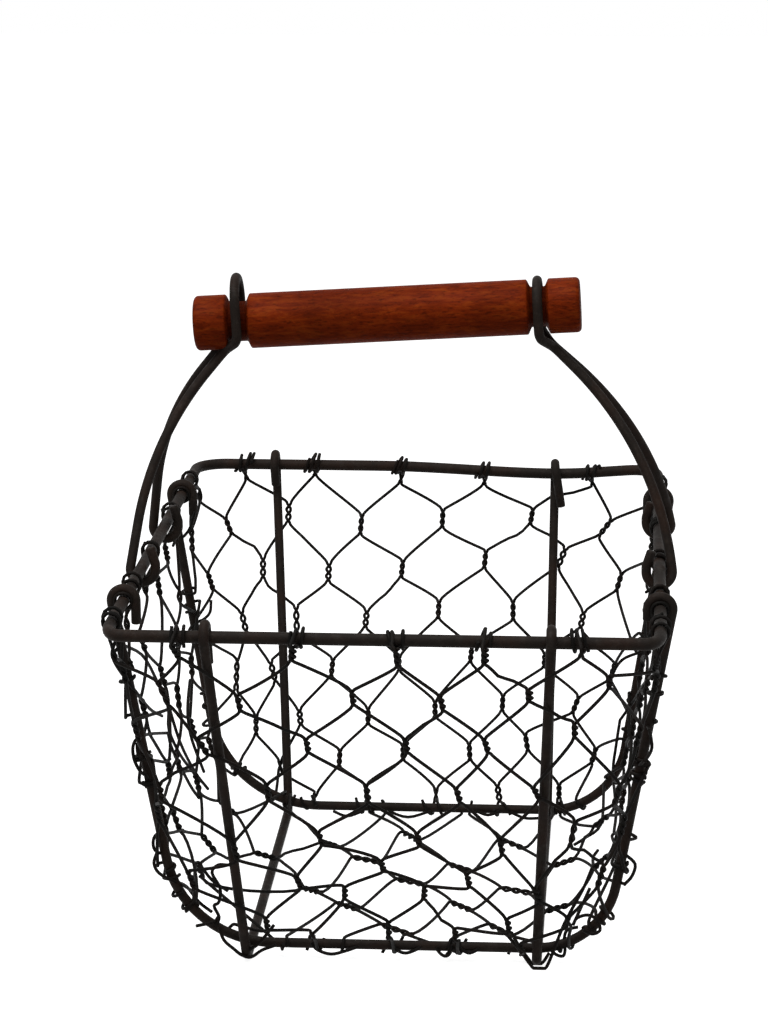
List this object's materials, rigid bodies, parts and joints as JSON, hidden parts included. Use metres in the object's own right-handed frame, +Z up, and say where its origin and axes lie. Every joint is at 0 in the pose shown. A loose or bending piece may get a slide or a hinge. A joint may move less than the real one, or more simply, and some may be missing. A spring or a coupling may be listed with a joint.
{
  "type": "wire onion basket",
  "caption": "Small rectangular wire basket that narrows to its base: hexagonal netting on a bent wire frame, with two wire bails and a turned wooden grip.",
  "frame": {"origin": "on the surface that the basket stands on, under the middle of its outer box", "axes": "+Z up; Y along the basket's length, from front to rear; X across it, along the grip"},
  "size_m": [0.1904, 0.2652, 0.2237],
  "materials": {
    "frame_wire": "dark annealed wire, matt, with a trace of rust",
    "net_wire": "thin dark annealed wire, matt",
    "stained_wood": "red-brown stain, satin, fine grain along the dowel"
  },
  "bodies": {
    "basket": {"rim_ring": "frame_wire", "front_hoop": "frame_wire", "rear_hoop": "frame_wire", "left_rib": "frame_wire", "right_rib": "frame_wire", "front_net": "net_wire", "rear_net": "net_wire", "trough_net": "net_wire"},
    "left_bail": {"left_bail": "frame_wire"},
    "right_bail": {"right_bail": "frame_wire"},
    "grip": {"grip": "stained_wood"}
  },
  "joints": [
    {"name": "right_bail_sway", "type": "hinge", "parent": "basket", "child": "right_bail", "pos_m": [0.089, 0, 0.127], "axis": [0, 1, 0], "range_deg": [0, 1.8]},
    {"name": "left_bail_sway", "type": "hinge", "parent": "basket", "child": "left_bail", "pos_m": [-0.089, 0, 0.127], "axis": [0, 1, 0], "range_deg": [0, 2.1]},
    {"name": "grip_spin", "type": "hinge", "parent": "right_bail", "child": "grip", "pos_m": [-0.0066, -0.001, 0.20985], "axis": [0.9982, 0, 0.0602], "continuous": true}
  ],
  "couplings": [
    {"joint": "left_bail_sway", "follows": "right_bail_sway", "ratio": 1.146}
  ]
}
